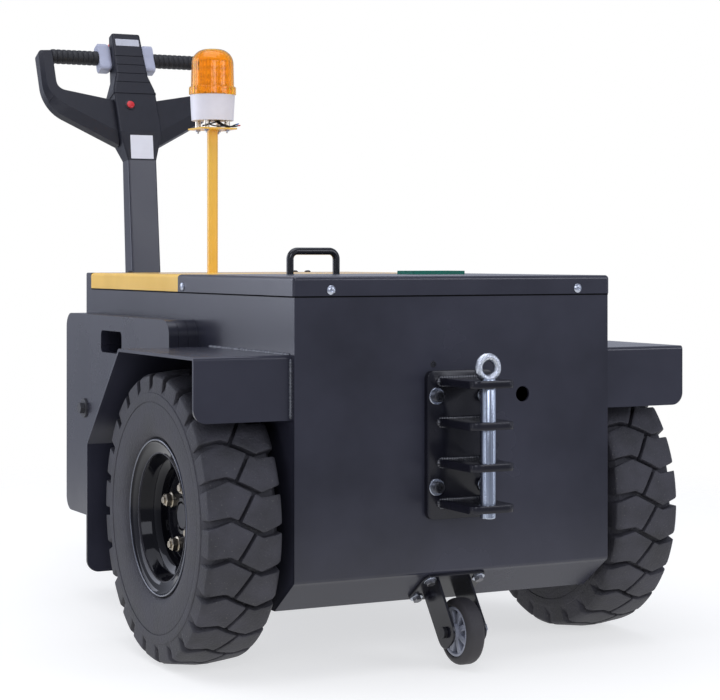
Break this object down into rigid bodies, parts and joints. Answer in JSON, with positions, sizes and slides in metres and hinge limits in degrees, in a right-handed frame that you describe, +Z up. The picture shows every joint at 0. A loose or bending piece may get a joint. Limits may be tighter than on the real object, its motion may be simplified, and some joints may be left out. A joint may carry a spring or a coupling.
{
  "type": "walk-behind electric tow tractor",
  "caption": "Walk-behind electric tow tractor: a steel battery box on lugged drive tyres and a steered wheel, with tiller, jaw hitch and drop pin, ballast plates, fenders and a beacon.",
  "frame": {"origin": "on the floor, under the middle of the whole object's box", "axes": "+Z up, +Y from the tow hitch towards the tiller, X across, tyres at both sides"},
  "size_m": [0.893, 1.6842, 1.1573],
  "materials": {
    "body_paint": "satin",
    "ballast_paint": "satin",
    "cover_yellow": "satin",
    "rim_black": "gloss",
    "tyre_rubber": "matte",
    "handle_black": "satin",
    "pad_green": "matte",
    "zinc": "zinc plated",
    "iron": "painted black",
    "battery_case": "matte",
    "roller_grey": "satin",
    "tiller_plastic": "fine grain",
    "grip_rubber": "ribbed",
    "knob_grey": "fine grain",
    "button_red": "gloss",
    "beacon_white": "satin",
    "beacon_amber": "clear amber",
    "lamp_glass": "gloss"
  },
  "bodies": {
    "chassis": {"tow_end_plate": "body_paint", "side_plate_left": "body_paint", "side_plate_right": "body_paint", "floor_plate": "body_paint", "tiller_end_wall": "body_paint", "yellow_cover": "cover_yellow", "fender_left": "body_paint", "fender_right": "body_paint", "ballast_plates_left": "ballast_paint", "ballast_plates_right": "ballast_paint", "ballast_bolts_left": "iron", "ballast_bolts_right": "iron", "battery": "battery_case", "drive_axle": "iron", "hitch_bracket": "body_paint", "roller_bracket": "body_paint", "roller_axle": "zinc", "beacon_pole": "cover_yellow", "beacon_base": "beacon_white", "beacon_lens": "beacon_amber", "beacon_lamp": "lamp_glass", "nose_beam": "body_paint"},
    "lid": {"lid": "body_paint", "lid_handle": "handle_black", "lid_pad": "pad_green"},
    "wheel_left": {"hub_left": "rim_black", "rim_left": "rim_black", "tyre_left": "tyre_rubber"},
    "wheel_right": {"hub_right": "rim_black", "rim_right": "rim_black", "tyre_right": "tyre_rubber"},
    "roller": {"roller_hub": "roller_grey", "roller_tyre": "tyre_rubber"},
    "tow_pin": {"tow_pin": "zinc"},
    "steer_head": {"steer_fork": "body_paint", "steer_axle": "zinc", "tiller_turntable": "body_paint", "tiller_pin": "zinc"},
    "steer_wheel": {"steer_hub": "iron", "steer_tyre": "tyre_rubber"},
    "tiller": {"tiller_column": "body_paint", "tiller_collar": "tiller_plastic", "tiller_head": "tiller_plastic", "tiller_cap": "tiller_plastic", "tiller_arms": "tiller_plastic", "tiller_grips": "grip_rubber", "throttle_knobs": "knob_grey", "belly_button": "button_red"}
  },
  "joints": [
    {"name": "wheel_left_spin", "type": "hinge", "parent": "chassis", "child": "wheel_left", "pos_m": [-0.366, -0.50115, 0.235], "axis": [1, 0, 0], "continuous": true},
    {"name": "wheel_right_spin", "type": "hinge", "parent": "chassis", "child": "wheel_right", "pos_m": [0.366, -0.50115, 0.235], "axis": [1, 0, 0], "continuous": true},
    {"name": "roller_spin", "type": "hinge", "parent": "chassis", "child": "roller", "pos_m": [0, -0.74035, 0.05866], "axis": [1, 0, 0], "continuous": true},
    {"name": "tow_pin_lift", "type": "slide", "parent": "chassis", "child": "tow_pin", "axis": [0, 0, 1], "range_m": [0, 0.27]},
    {"name": "lid_lift", "type": "slide", "parent": "chassis", "child": "lid", "axis": [0, 0, 1], "range_m": [0, 0.25]},
    {"name": "steer", "type": "hinge", "parent": "chassis", "child": "steer_head", "pos_m": [0, 0.56285, 0.3], "axis": [0, 0, 1], "range_deg": [-75, 75]},
    {"name": "steer_wheel_spin", "type": "hinge", "parent": "steer_head", "child": "steer_wheel", "pos_m": [0, 0.56285, 0.125], "axis": [1, 0, 0], "continuous": true},
    {"name": "tiller_tilt", "type": "hinge", "parent": "steer_head", "child": "tiller", "pos_m": [0, 0.65385, 0.4], "axis": [-1, 0, 0], "range_deg": [0, 70], "stiffness_Nm_per_rad": 45, "springref_deg": -40.11}
  ]
}
